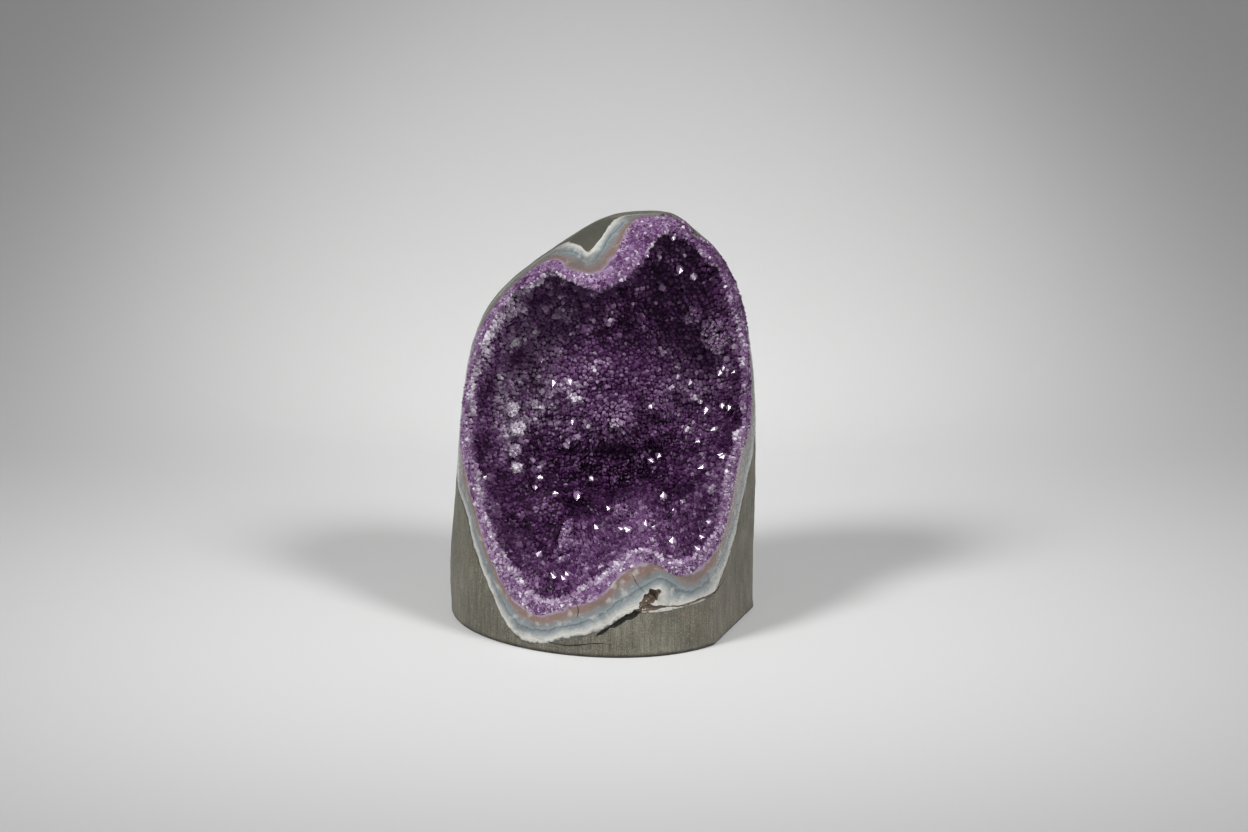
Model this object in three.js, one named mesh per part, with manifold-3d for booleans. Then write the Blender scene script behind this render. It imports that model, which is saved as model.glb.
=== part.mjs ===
// Amethyst geode with a sawn base: a ground basalt shell, an agate rind, a bed of
// amethyst crystals and the larger clusters and single crystals that stand out of it.
// Units are millimetres. +Z is up, the open face looks towards -Y, and the origin is
// at the centre of the flat base.

import * as THREE from "three";
import { mergeVertices } from "three/addons/utils/BufferGeometryUtils.js";
import Module from "manifold-3d";

const wasm = await Module();
wasm.setup();

// ---------------------------------------------------------------- driving sizes

const HEIGHT = 186;                // base to the highest point
const WIDEST_LINE_Y = 15;          // the stone is widest on this upright plane
const RIGHT_SHOULDER = 8;          // how far the front swells towards the right
const CENTRE = { x: 2, z: 92 };    // axis of the hollow, which runs front to back
const GAP = 0.3;                   // clearance between two neighbouring solids
const BASE_MIDDLE_X = -0.62;       // middle of the stone's width in the side lines below

// Left and right side lines of the stone, from the peak down to the base, as [x, z].
const PEAK = [21, HEIGHT];
const LEFT_LINE = [PEAK, [2, 183], [-15, 174], [-34, 161], [-50, 145.5], [-59.5, 126],
  [-64.5, 100], [-67, 72], [-69, 46], [-71, 20], [-70.5, 0]];
const RIGHT_LINE = [PEAK, [33, 184], [43, 176], [52.5, 167], [60, 152.5], [65.5, 133],
  [69, 108], [69.8, 75], [69.5, 46], [69.3, 20], [69.5, 0]];

// How far the stone reaches in front of and behind its widest line, at the same places.
const DEPTH_LINE = [[0, 0], [16, 13], [29, 23], [39, 30], [48, 35], [55.5, 38.5],
  [62, 40.5], [67, 42], [70.5, 43], [73, 43], [73, 42]];

// A flat facet ground on the lower right side.
const FACET = { normal: new THREE.Vector3(0.94, -0.34, 0).normalize(), through: [70, 15, 0] };

// The hollow faces of the three layers. Each outline is [angle in degrees, radius]
// about the hollow's axis, anticlockwise from +X as seen from the front.
const BASALT_INSIDE = {
  depth: 51, bulge: 4, deepScale: 1.06,
  outline: [[0, 72.6], [20, 75.6], [40, 86], [60, 99.5], [72, 105.5], [82, 105.5], [88, 97],
    [92, 86], [96, 80.5], [99, 84], [104, 88.5], [112, 86], [130, 80.7], [150, 75.8],
    [170, 72.4], [190, 74], [200, 76.5], [209, 74], [222, 79], [235, 86], [247, 92],
    [258, 82], [268, 75], [278, 68.5], [292, 72.5], [305, 79.5], [318, 76], [330, 70.5],
    [345, 71.5]],
};
const AGATE_INSIDE = {
  depth: 43, bulge: 9, deepScale: 0.99,
  outline: [[0, 69], [20, 72], [40, 82], [60, 96], [72, 101.5], [80, 101], [84, 91],
    [88, 78], [94, 71.5], [102, 74], [108, 81], [120, 79], [140, 74.6], [160, 70],
    [178, 69], [190, 70.5], [200, 67.5], [215, 69.5], [234, 77], [247, 77.5], [258, 67],
    [268, 60.5], [276, 52], [290, 49.5], [300, 62], [311, 65.5], [325, 65], [345, 61],
    [353, 65]],
};
const AMETHYST_INSIDE = {
  depth: 33, bulge: 17, deepScale: 0.9,
  outline: [[0, 64.5], [20, 68], [40, 78], [60, 91.5], [70, 95.5], [76, 90], [82, 75],
    [92, 66], [103, 69.5], [112, 76.5], [130, 73], [150, 68], [168, 65], [184, 65.5],
    [199, 62.5], [214, 65], [230, 71], [246, 72.5], [258, 62], [268, 55.5], [277, 47.5],
    [290, 45], [300, 57], [311, 61], [325, 60.5], [345, 56.5], [354, 60.5]],
};
const BOWL_MOUTH_Y = -12;          // behind this plane the hollow closes in
const BOWL_FRONT_Y = -100;         // each cutting solid runs out past the stone's front
const BOWL_FLARE = 0.0012;         // opening of the hollow per millimetre in front of it
const BOWL_ROUNDNESS = 2.2;        // exponent of the hollow's section
const BOWL_LEAN = 0.22;            // the hollow's back leans with the stone's back
const DEEP_OUTLINE = { side: 64, up: 88, down: 76 };   // plain oval that the folds fade into
const FOLD_FADE = { from: 0.35, to: 0.85 };            // depth fractions of that fade

const STONE_MESH = { around: 52, down: 26 };
const BOWL_MESH = { floorRows: 7, wallRows: 2, capRows: 1 };

// Places on the crystal bed are { around, spread }: the angle about the hollow's axis, and
// how far out from that axis towards the rim. "long" points along the wall towards the
// rim, "wide" across it and "high" out of it.
const CLUSTERS = [
  { name: "pale_knob_1", around: 162, spread: 0.79, long: 3, wide: 3, high: 3 },
  { name: "pale_knob_2", around: 177, spread: 0.75, long: 3.6, wide: 3.6, high: 3.6 },
  { name: "pale_knob_3", around: 190, spread: 0.73, long: 3.8, wide: 3.6, high: 4.2 },
  { name: "pale_knob_4", around: 202, spread: 0.79, long: 3.2, wide: 3, high: 3.4 },
  { name: "pale_knob_5", around: 211, spread: 0.81, long: 2.8, wide: 2.8, high: 3 },
  { name: "teardrop_knob", around: 51, spread: 0.81, long: 6, wide: 3.6, high: 4 },
  { name: "lilac_patch_upper", around: 38, spread: 0.86, long: 6.5, wide: 8, high: 3.2 },
  { name: "lilac_knob_lower", around: 280, spread: 0.97, long: 4.4, wide: 4.4, high: 4 },
  { name: "pale_ridge_left", around: 252, spread: 0.90, long: 11, wide: 3, high: 3 },
  { name: "rim_knob_right", around: 354, spread: 0.985, long: 3.2, wide: 3, high: 2.6 },
  { name: "rim_knob_lower_right", around: 327, spread: 0.97, long: 2.6, wide: 2.6, high: 2.4 },
];
const CLUSTER_MESH = { around: 10, rows: 6 };
const CLUSTER_SINK = 0.35;         // part of its height that a cluster is rooted in the bed

// The largest single points: places on the bed, half width and free length.
const CRYSTALS = [
  [65, 0.87, 1.8, 5], [68, 0.79, 1.6, 4.8], [72, 0.63, 1.9, 5.4], [3, 0.77, 1.9, 5.2],
  [343, 0.77, 1.6, 4.8], [331, 0.85, 1.7, 4.8], [309, 0.96, 1.7, 4.6], [304, 0.93, 1.6, 4.6],
  [251, 0.65, 2, 5.4], [194, 0.27, 1.5, 4.4], [140, 0.62, 1.6, 4.6], [225, 0.72, 1.7, 4.8],
].map(([around, spread, halfWidth, length]) => ({ around, spread, halfWidth, length }));
const CRYSTAL_SIDES = 6;
const CRYSTAL_TIP = 0.55;          // share of the free length that the six-sided tip takes

// ---------------------------------------------------------------- materials

const basalt = new THREE.MeshStandardMaterial({ color: 0x5f5f55, roughness: 0.62, metalness: 0 });
const agate = new THREE.MeshStandardMaterial({ color: 0x9aa4a6, roughness: 0.25, metalness: 0 });
const amethyst = new THREE.MeshStandardMaterial({ color: 0x4b2d5a, roughness: 0.2, metalness: 0 });
const paleQuartz = new THREE.MeshStandardMaterial({ color: 0xb79fc8, roughness: 0.2, metalness: 0 });

// ---------------------------------------------------------------- booleans

// One closed solid from a three.js geometry: only positions, with shared corners merged.
function toSolid(geometry) {
  geometry.deleteAttribute("normal");
  geometry.deleteAttribute("uv");
  const merged = mergeVertices(geometry, 1e-4);
  const positions = merged.attributes.position.array;
  const corners = merged.index.array;
  const kept = [];
  for (let i = 0; i < corners.length; i += 3) {
    const [a, b, c] = [corners[i], corners[i + 1], corners[i + 2]];
    if (a !== b && b !== c && c !== a) kept.push(a, b, c);
  }
  return new wasm.Manifold(new wasm.Mesh({
    numProp: 3, vertProperties: positions, triVerts: new Uint32Array(kept),
  }));
}

function toGeometry(solid) {
  const { vertProperties, triVerts } = solid.getMesh();
  const geometry = new THREE.BufferGeometry();
  geometry.setAttribute("position", new THREE.BufferAttribute(vertProperties, 3));
  geometry.setIndex(new THREE.BufferAttribute(triVerts, 1));
  geometry.computeVertexNormals();
  return geometry;
}

// A sphere whose points are moved to place(u, v); v is 0 at the first pole and 1 at the last.
function remapSphere(around, rows, place) {
  const geometry = new THREE.SphereGeometry(1, around, rows);
  const { position } = geometry.attributes;
  for (let i = 0; i < position.count; i += 1) {
    const row = Math.floor(i / (around + 1));
    const column = i % (around + 1);
    const point = place(((around - column) % around) / around, row / rows);
    position.setXYZ(i, point.x, point.y, point.z);
  }
  return geometry;
}

const smoothstep = THREE.MathUtils.smoothstep;
const curveOf = (points) => new THREE.SplineCurve(points.map(([a, b]) => new THREE.Vector2(a, b)));

// ---------------------------------------------------------------- the whole stone

const leftCurve = curveOf(LEFT_LINE);
const rightCurve = curveOf(RIGHT_LINE);
const depthCurve = curveOf(DEPTH_LINE);

// Rings run from the peak to the base; each is an oval that joins the two side lines.
function stonePoint(turn, down) {
  const left = leftCurve.getPoint(down);
  const right = rightCurve.getPoint(down);
  const depth = depthCurve.getPoint(down);
  const c = Math.cos(turn);
  const s = Math.sin(turn);
  const halfWidth = (right.x - left.x) / 2;
  const swell = RIGHT_SHOULDER * (halfWidth / 70) * Math.max(s, 0) ** 2;
  const point = new THREE.Vector3(
    (left.x + right.x) / 2 + halfWidth * c + swell,
    WIDEST_LINE_Y - (s > 0 ? depth.x : depth.y) * s,
    (left.y + right.y) / 2 + ((right.y - left.y) / 2) * c,
  );
  const beyond = point.clone().sub(new THREE.Vector3(...FACET.through)).dot(FACET.normal);
  return point.addScaledVector(FACET.normal, -Math.max(beyond, 0));
}

function makeStone() {
  const { around, down } = STONE_MESH;
  const baseMiddle = new THREE.Vector3(0, WIDEST_LINE_Y, 0);
  const geometry = remapSphere(around, down, (u, v) => {
    const row = Math.round(v * down);
    if (row === down) return baseMiddle;
    return stonePoint(u * 2 * Math.PI, row / (down - 1));
  });
  return toSolid(geometry);
}

const stone = makeStone();

// ---------------------------------------------------------------- the hollow faces

function outlineCurve(layer) {
  const points = layer.outline.map(([degrees, radius]) => {
    const angle = THREE.MathUtils.degToRad(degrees);
    return new THREE.Vector3(radius * Math.cos(angle), 0, radius * Math.sin(angle));
  });
  return new THREE.CatmullRomCurve3(points, true, "catmullrom", 0.5);
}

// Point of a bowl: around is 0..1 round the outline, spread is 0 on the axis and 1 on the
// wall, and mouth is how far in front of the mouth plane the point lies.
function bowlPoint(layer, curve, around, spread, mouth = 0) {
  const near = curve.getPoint(around);
  const length = near.length();
  const direction = near.clone().divideScalar(length);
  const reach = direction.z > 0 ? DEEP_OUTLINE.up : DEEP_OUTLINE.down;
  const deep = layer.deepScale / Math.hypot(direction.x / DEEP_OUTLINE.side, direction.z / reach);
  const inward = (1 - Math.min(spread, 1) ** 2) ** (1 / BOWL_ROUNDNESS);
  const fade = smoothstep(inward, FOLD_FADE.from, FOLD_FADE.to);
  const radius = THREE.MathUtils.lerp(length, deep, fade) * spread * (1 + BOWL_FLARE * mouth);
  const z = radius * direction.z;
  const bulge = layer.bulge * Math.exp(-((spread / 0.42) ** 2));
  const y = BOWL_MOUTH_Y - mouth + (layer.depth - BOWL_MOUTH_Y) * inward
    - bulge - BOWL_LEAN * z * inward ** 2;
  return new THREE.Vector3(CENTRE.x + radius * direction.x, y, CENTRE.z + z);
}

// The cutting solid of a hollow face, grown outwards by a clearance.
function makeBowl(layer, clearance = 0) {
  const grown = {
    ...layer,
    depth: layer.depth + clearance,
    outline: layer.outline.map(([angle, radius]) => [angle, radius + clearance]),
    deepScale: layer.deepScale * (1 + clearance / DEEP_OUTLINE.side),
  };
  const curve = outlineCurve(grown);
  const { floorRows, wallRows, capRows } = BOWL_MESH;
  const rows = floorRows + wallRows + capRows;
  const reach = BOWL_MOUTH_Y - BOWL_FRONT_Y;
  const geometry = remapSphere(2 * layer.outline.length, rows, (u, v) => {
    const row = Math.round(v * rows);
    if (row <= floorRows) {
      return bowlPoint(grown, curve, u, Math.sin((row / floorRows) * (Math.PI / 2)));
    }
    if (row <= floorRows + wallRows) {
      return bowlPoint(grown, curve, u, 1, ((row - floorRows) / wallRows) * reach);
    }
    const rim = bowlPoint(grown, curve, u, 1, reach);
    const middle = new THREE.Vector3(CENTRE.x, rim.y, CENTRE.z);
    return rim.lerp(middle, (row - floorRows - wallRows) / capRows);
  });
  return toSolid(geometry);
}

// ---------------------------------------------------------------- clusters and crystals

const bedCurve = outlineCurve(AMETHYST_INSIDE);

// The fraction round the bed's outline that lies at an angle, found by stepping round it.
function aroundAt(degrees) {
  const steps = 720;
  const angleOf = (k) => {
    const p = bedCurve.getPoint((k % steps) / steps);
    return THREE.MathUtils.radToDeg(Math.atan2(p.z, p.x));
  };
  let best = 0;
  let least = Infinity;
  for (let k = 0; k < steps; k += 1) {
    const off = Math.abs(THREE.MathUtils.euclideanModulo(angleOf(k) - degrees + 180, 360) - 180);
    if (off < least) {
      least = off;
      best = k / steps;
    }
  }
  return best;
}

// A frame standing on the bed: x along the wall towards the rim, y across it, z out of it.
function bedFrame({ around, spread }) {
  const u = aroundAt(around);
  const step = 0.01;
  const foot = bowlPoint(AMETHYST_INSIDE, bedCurve, u, spread);
  const along = bowlPoint(AMETHYST_INSIDE, bedCurve, u, spread - step).sub(foot).negate();
  const across = bowlPoint(AMETHYST_INSIDE, bedCurve, u + step, spread).sub(foot);
  const out = along.clone().cross(across).normalize();
  if (out.y > 0) out.negate();
  along.normalize();
  const side = out.clone().cross(along).normalize();
  return new THREE.Matrix4().makeBasis(along, side, out).setPosition(foot);
}

// What may grow into the hollow: everything inside the stone and clear of the bed.
const hollow = stone.intersect(makeBowl(AMETHYST_INSIDE, -GAP));

function makeCluster({ long, wide, high, ...place }) {
  const { around, rows } = CLUSTER_MESH;
  const knob = new THREE.SphereGeometry(1, around, rows);
  knob.scale(long, wide, high);
  knob.translate(0, 0, high * (1 - 2 * CLUSTER_SINK));
  knob.applyMatrix4(bedFrame(place));
  return toSolid(knob).intersect(hollow);
}

// A six-sided column with a six-sided point, rooted in the bed by its own width.
function makeCrystal({ halfWidth, length, ...place }) {
  const shoulder = length * (1 - CRYSTAL_TIP);
  const profile = [[0, -halfWidth], [halfWidth, -halfWidth], [halfWidth, shoulder], [0, length]];
  const point = new THREE.LatheGeometry(profile.map(([x, y]) => new THREE.Vector2(x, y)), CRYSTAL_SIDES);
  point.rotateX(Math.PI / 2);
  point.applyMatrix4(bedFrame(place));
  return toSolid(point).intersect(hollow);
}

// ---------------------------------------------------------------- the model

const basaltSolid = stone.subtract(makeBowl(BASALT_INSIDE));
const agateSolid = stone.intersect(makeBowl(BASALT_INSIDE, -GAP)).subtract(makeBowl(AGATE_INSIDE));
const crustSolid = stone.intersect(makeBowl(AGATE_INSIDE, -GAP)).subtract(makeBowl(AMETHYST_INSIDE));

const geode = new THREE.Group();
geode.position.x = -BASE_MIDDLE_X;

function addPiece(name, geometry, material) {
  const mesh = new THREE.Mesh(geometry, material);
  mesh.name = name;
  geode.add(mesh);
  return mesh;
}

addPiece("basalt_shell", toGeometry(basaltSolid), basalt);
addPiece("agate_rind", toGeometry(agateSolid), agate);
addPiece("amethyst_crust", toGeometry(crustSolid), amethyst);
CLUSTERS.forEach(({ name, ...cluster }) => {
  addPiece(name, toGeometry(makeCluster(cluster)), paleQuartz);
});
CRYSTALS.forEach((crystal, i) => {
  const name = `large_crystal_${String(i + 1).padStart(2, "0")}`;
  addPiece(name, toGeometry(makeCrystal(crystal)), amethyst);
});

export default geode;
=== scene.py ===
# %% [markdown]
# # An amethyst geode on a sawn base
# The stone is a lump of basalt that once held a gas bubble. Agate lined the bubble first,
# and then quartz points grew inwards and turned violet. A saw gave it a foot, and a belt
# grinder rounded the outside until the layers showed as bands round the hollow.
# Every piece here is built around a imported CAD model, which stays the ruler for size.

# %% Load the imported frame
import itertools
import math

import bpy
import numpy as np
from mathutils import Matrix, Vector
from mathutils.bvhtree import BVHTree


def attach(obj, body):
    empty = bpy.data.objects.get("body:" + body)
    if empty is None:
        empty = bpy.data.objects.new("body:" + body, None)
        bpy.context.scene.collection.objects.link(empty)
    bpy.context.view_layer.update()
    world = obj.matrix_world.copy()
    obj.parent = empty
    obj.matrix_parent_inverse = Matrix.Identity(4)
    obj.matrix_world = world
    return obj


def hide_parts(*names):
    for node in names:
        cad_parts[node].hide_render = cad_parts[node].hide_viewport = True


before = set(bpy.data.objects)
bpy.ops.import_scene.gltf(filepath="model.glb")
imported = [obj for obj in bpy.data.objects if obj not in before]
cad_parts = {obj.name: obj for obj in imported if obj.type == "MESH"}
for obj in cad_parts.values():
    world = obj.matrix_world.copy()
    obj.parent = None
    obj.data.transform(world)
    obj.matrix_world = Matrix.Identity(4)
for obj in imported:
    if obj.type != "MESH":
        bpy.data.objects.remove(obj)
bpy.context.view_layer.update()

# %% [markdown]
# ## The camera
# The stone is looked at from a little above, through a long lens, so that its sides stay
# nearly upright. The place is given in metres and the aim is a point inside the stone.

# %% Camera
CAMERA_PLACE = Vector((0.0100, -1.284, 0.422))
CAMERA_AIM = Vector((0.0100, 0.016, 0.091))
LENS_MM = 85

lens = bpy.data.cameras.new("camera")
lens.lens = LENS_MM
lens.sensor_width = 36
camera = bpy.data.objects.new("camera", lens)
camera.location = CAMERA_PLACE
camera.rotation_euler = (CAMERA_AIM - CAMERA_PLACE).to_track_quat("-Z", "Y").to_euler()
bpy.context.collection.objects.link(camera)
bpy.context.scene.camera = camera
print("camera distance", round((CAMERA_AIM - CAMERA_PLACE).length, 3))

# %% [markdown]
# ## Shader maths as plain expressions
# A bump or a colour mask is a sum of small terms, and a chain of Math nodes is hard to
# read. This class wraps one socket, so that an expression on wires adds the nodes.
# Any other node comes from `node`, which sets its options first and its sockets after.

# %% Wire class


class Wire:
    """A socket of a node tree that can be used in Python arithmetic."""

    def __init__(self, tree, socket=None):
        self.tree = tree
        self.socket = socket

    def node(self, kind, options=None, values=None, output=0):
        made = self.tree.nodes.new(kind)
        options = dict(options or {})
        for place, colour in options.pop("stops", []):
            ramp = made.color_ramp.elements
            stop = ramp[0] if place == 0 else ramp[-1] if place == 1 else ramp.new(place)
            stop.color = (*colour, 1)
        for name, value in options.items():
            setattr(made, name, value)
        for name, value in (values or {}).items():
            if isinstance(value, Wire):
                self.tree.links.new(value.socket, made.inputs[name])
            else:
                made.inputs[name].default_value = value
        return Wire(self.tree, made.outputs[output])

    def math(self, operation, *terms):
        return self.node("ShaderNodeMath", {"operation": operation}, dict(enumerate(terms)))

    def __add__(self, other):
        return self.math("ADD", self, other)

    def __sub__(self, other):
        return self.math("SUBTRACT", self, other)

    def __rsub__(self, other):
        return self.math("SUBTRACT", other, self)

    def __mul__(self, other):
        return self.math("MULTIPLY", self, other)

    def between(self, low, high):
        """0 where the value is at low, 1 where it is at high, eased in between."""
        ease = {"interpolation_type": "SMOOTHSTEP"}
        ends = {"Value": self, "From Min": low, "From Max": high}
        return self.node("ShaderNodeMapRange", ease, ends)

    def ramp(self, stops):
        return self.node("ShaderNodeValToRGB", {"stops": stops}, {"Fac": self})

    def blend(self, under, over):
        """The colour under where this value is 0, and the colour over where it is 1."""
        colours = [c if isinstance(c, Wire) else (*c, 1) for c in (under, over)]
        values = {0: self, 6: colours[0], 7: colours[1]}
        return self.node("ShaderNodeMix", {"data_type": "RGBA"}, values, 2)

    def grain(self, scale, detail=3, stretch=(1, 1, 1), shift=(0, 0, 0)):
        """Noise in metres: scale is how many lumps there are to a metre."""
        place = self.node("ShaderNodeTexCoord", output=3)
        moved = self.node("ShaderNodeMapping", {}, {0: place, 1: shift, 3: stretch})
        return self.node("ShaderNodeTexNoise", {}, {"Vector": moved, "Scale": scale, "Detail": detail})

    def cells(self, scale, output=0):
        place = self.node("ShaderNodeTexCoord", output=3)
        return self.node("ShaderNodeTexVoronoi", {}, {"Vector": place, "Scale": scale}, output)

    def stored(self, name):
        """A number that the mesh carries at each corner point."""
        return self.node("ShaderNodeAttribute", {"attribute_name": name}, output=2)


def new_finish(name, **sockets):
    """A material with one Principled surface; returns it with a first wire and its shader."""
    finish = bpy.data.materials.new(name)
    finish.use_nodes = True
    surface = finish.node_tree.nodes["Principled BSDF"]
    for socket, value in sockets.items():
        surface.inputs[socket.replace("_", " ")].default_value = value
    return finish, Wire(finish.node_tree), surface


def feed(surface, **wires):
    for socket, wire in wires.items():
        wire.tree.links.new(wire.socket, surface.inputs[socket.replace("_", " ")])


def bump(height, strength, distance_mm):
    values = {"Height": height, "Strength": strength, "Distance": distance_mm / 1000}
    return height.node("ShaderNodeBump", {}, values)


# %% [markdown]
# ## Smooth random relief
# Broken and grown stone is never a clean curve. The relief is value noise: a random number
# at every corner of a lattice, eased between the corners, and added up at halving sizes.
# It is written out here, so that the same stone comes out every time.

# %% Noise


def lattice_noise(points, seed):
    cell = np.floor(points).astype(np.int64)
    part = points - cell
    part = part * part * (3 - 2 * part)
    total = np.zeros(points.shape[:-1])
    for corner in itertools.product((0, 1), repeat=3):
        spot = cell + np.array(corner)
        mixed = spot[..., 0] * 73856093 ^ spot[..., 1] * 19349663 ^ spot[..., 2] * 83492791
        mixed = (mixed + seed * 2654435761) & 0xFFFFFFFF
        mixed = ((mixed ^ (mixed >> 15)) * 2246822519) & 0xFFFFFFFF
        mixed = ((mixed ^ (mixed >> 13)) * 3266489917) & 0xFFFFFFFF
        value = (mixed ^ (mixed >> 16)) / 2**31 - 1
        total += value * np.prod(np.where(corner, part, 1 - part), axis=-1)
    return total


def relief(points, size, seed, octaves=2):
    """Noise between about -1 and 1, whose lumps are size millimetres across."""
    parts = [lattice_noise(points / (size / 2**k), seed + k) / 2**k for k in range(octaves)]
    return sum(parts)


def eased(value, low, high):
    step = np.clip((value - low) / (high - low), 0, 1)
    return step * step * (3 - 2 * step)


# %% [markdown]
# ## The outside of the whole stone
# The stone was one lump before it was opened, so all its layers are cut from one outside
# skin. Two side lines and a depth line are read off at the same place, an oval ring joins
# them, and a ground facet trims the lower right. Sizes here are in millimetres.

# %% Stone skin
MM = 0.001
MIDDLE_X = 0.62
WIDEST_Y = 15
SHOULDER = 8
LEFT_LINE = [(21, 186), (2, 183), (-15, 174), (-34, 161), (-50, 145.5), (-59.5, 126),
             (-64.5, 100), (-67, 72), (-69, 46), (-71, 20), (-70.5, 0)]
RIGHT_LINE = [(21, 186), (33, 184), (43, 176), (52.5, 167), (60, 152.5), (65.5, 133),
              (69, 108), (69.8, 75), (69.5, 46), (69.3, 20), (69.5, 0)]
DEPTH_LINE = [(0, 0), (16, 13), (29, 23), (39, 30), (48, 35), (55.5, 38.5),
              (62, 40.5), (67, 42), (70.5, 43), (73, 43), (73, 42)]
FACET_THROUGH = np.array([70, 15, 0])
FACET_NORMAL = np.array([0.94, -0.34, 0]) / math.hypot(0.94, 0.34)
NOTCH = np.array([42, 8, 177])
CHIP_DEPTH, CHIP_RADIUS = 3.0, 3.0
CHAMFER_WIDTH, CHAMFER_HEIGHT = 1.1, 0.9


def curve_through(points, place, closed=False):
    """A Catmull-Rom curve; place is 0 to 1 along the points, or round them."""
    points = np.array(points, float)
    count = len(points)
    step = (place % 1) * count if closed else place * (count - 1)
    first = np.floor(step).astype(int)
    first = first % count if closed else np.clip(first, 0, count - 2)
    part = (step - np.floor(step) if closed else step - first)[..., None]
    near = [first + k for k in (-1, 0, 1, 2)]
    near = [i % count if closed else np.clip(i, 0, count - 1) for i in near]
    a, b, c, d = (points[i] for i in near)
    lead, trail = (c - a) / 2, (d - b) / 2
    return ((2 * b - 2 * c + lead + trail) * part**3
            + (3 * c - 3 * b - 2 * lead - trail) * part**2 + lead * part + b)


def unit(vectors):
    return vectors / np.maximum(np.linalg.norm(vectors, axis=-1, keepdims=True), 1e-9)


def grid_normals(grid):
    """Normals of a grid of rings, before their sign is settled."""
    down = np.gradient(grid, axis=0)
    round_about = np.roll(grid, -1, 1) - np.roll(grid, 1, 1)
    return unit(np.cross(down, round_about))


def stone_grid(rows=250, around=400):
    down = np.linspace(0, 1, rows + 1)[1:, None]
    turn = np.linspace(0, 2 * math.pi, around, endpoint=False)[None, :]
    left = curve_through(LEFT_LINE, down)
    right = curve_through(RIGHT_LINE, down)
    depth = curve_through(DEPTH_LINE, down)
    middle, half = (left + right) / 2, (right - left) / 2
    c, s = np.cos(turn), np.sin(turn)
    x = middle[..., 0] + half[..., 0] * c + SHOULDER * half[..., 0] / 70 * np.maximum(s, 0) ** 2
    y = WIDEST_Y - np.where(s > 0, depth[..., 0], depth[..., 1]) * s
    z = middle[..., 1] + half[..., 1] * c
    grid = np.stack([x, y, z], -1)
    beyond = np.maximum((grid - FACET_THROUGH) @ FACET_NORMAL, 0)
    grid -= beyond[..., None] * FACET_NORMAL
    return grid


def worn(grid):
    """The skin with the waviness of hand grinding, and one small chip high on the right."""
    normals = grid_normals(grid)
    outward = unit(grid - np.array([0, WIDEST_Y, 80]))
    normals *= np.sign((normals * outward).sum(-1, keepdims=True))
    waves = 0.45 * relief(grid, 30, 11) + 0.12 * relief(grid, 6, 12)
    chip = CHIP_DEPTH * np.exp(-((np.linalg.norm(grid - NOTCH, axis=-1) / CHIP_RADIUS) ** 2))
    foot = eased(grid[..., 2], 0, 5)
    chamfer = CHAMFER_WIDTH * np.exp(-grid[..., 2] / CHAMFER_HEIGHT)
    moved = grid + normals * ((waves - 0.45) * foot - chip - chamfer)[..., None]
    moved[..., 2] = np.where(grid[..., 2] < 0.01, 0, np.maximum(moved[..., 2], 0))
    return moved


stone = worn(stone_grid())
print("stone skin", stone.shape, "rises to", round(stone[..., 2].max(), 1), "mm")

# %% [markdown]
# ## The hollow faces of the layers
# Each layer ends inwards in a bowl round one axis that runs front to back. Its outline is
# [angle, radius] round that axis. Folds of the outline fade towards the back, the floor
# swells forward in the middle, and each face has its own relief.

# %% Hollow faces
AXIS_X, AXIS_Z = 2, 92
MOUTH_Y = -12
WALL_REACH = 88
BASALT_INSIDE = {
    "depth": 51, "bulge": 4, "deep": 1.06, "relief": ((14, 0.9, 21), (4, 0.35, 22)),
    "outline": [(0, 72.6), (20, 75.6), (40, 86), (60, 99.5), (72, 105.5), (82, 105.5), (88, 97),
                (92, 86), (96, 80.5), (99, 84), (104, 88.5), (112, 86), (130, 80.7),
                (150, 75.8), (170, 72.4), (190, 74), (200, 76.5), (209, 74), (222, 79),
                (235, 86), (247, 92), (258, 82), (268, 75), (278, 68.5), (292, 72.5),
                (305, 79.5), (318, 76), (330, 70.5), (345, 71.5)]}
AGATE_INSIDE = {
    "depth": 43, "bulge": 9, "deep": 0.99, "relief": ((8, 0.8, 31), (3, 0.3, 32)),
    "outline": [(0, 69), (20, 72), (40, 82), (60, 96), (72, 101.5), (80, 101), (84, 91),
                (88, 78), (94, 71.5), (102, 74), (108, 81), (120, 79), (140, 74.6), (160, 70),
                (178, 69), (190, 70.5), (200, 67.5), (215, 69.5), (234, 77), (247, 77.5),
                (258, 67), (268, 60.5), (276, 52), (290, 49.5), (300, 62), (311, 65.5),
                (325, 65), (345, 61), (353, 65)]}
BED = {
    "depth": 33, "bulge": 17, "deep": 0.9, "relief": ((18, 2.4, 41), (8, 1.7, 43), (4, 0.5, 45)),
    "outline": [(0, 64.5), (20, 68), (40, 78), (60, 91.5), (70, 95.5), (76, 90), (82, 75),
                (92, 66), (103, 69.5), (112, 76.5), (130, 73), (150, 68), (168, 65),
                (184, 65.5), (199, 62.5), (214, 65), (230, 71), (246, 72.5), (258, 62),
                (268, 55.5), (277, 47.5), (290, 45), (300, 57), (311, 61), (325, 60.5),
                (345, 56.5), (354, 60.5)]}
FOLD_FADE = (0.35, 0.85)
DEEP_SIDE, DEEP_UP, DEEP_DOWN = 64, 88, 76
ROUNDNESS, LEAN, FLARE = 2.2, 0.22, 0.0012
OUTLINE_STEPS = 2880


def outline_places(layer, round_about):
    ring = [(r * math.cos(math.radians(a)), r * math.sin(math.radians(a)))
            for a, r in layer["outline"]]
    return curve_through(ring, round_about, closed=True)


def bowl_radius(layer, near, inward):
    """Distance of the wall from the axis, for an outline place and a share of the depth."""
    length = np.linalg.norm(near, axis=-1)
    dx, dz = near[..., 0] / length, near[..., 1] / length
    reach = np.where(dz > 0, DEEP_UP, DEEP_DOWN)
    deep = layer["deep"] / np.hypot(dx / DEEP_SIDE, dz / reach)
    fade = eased(inward, *FOLD_FADE)
    return length * (1 - fade) + deep * fade, dx, dz


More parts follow.
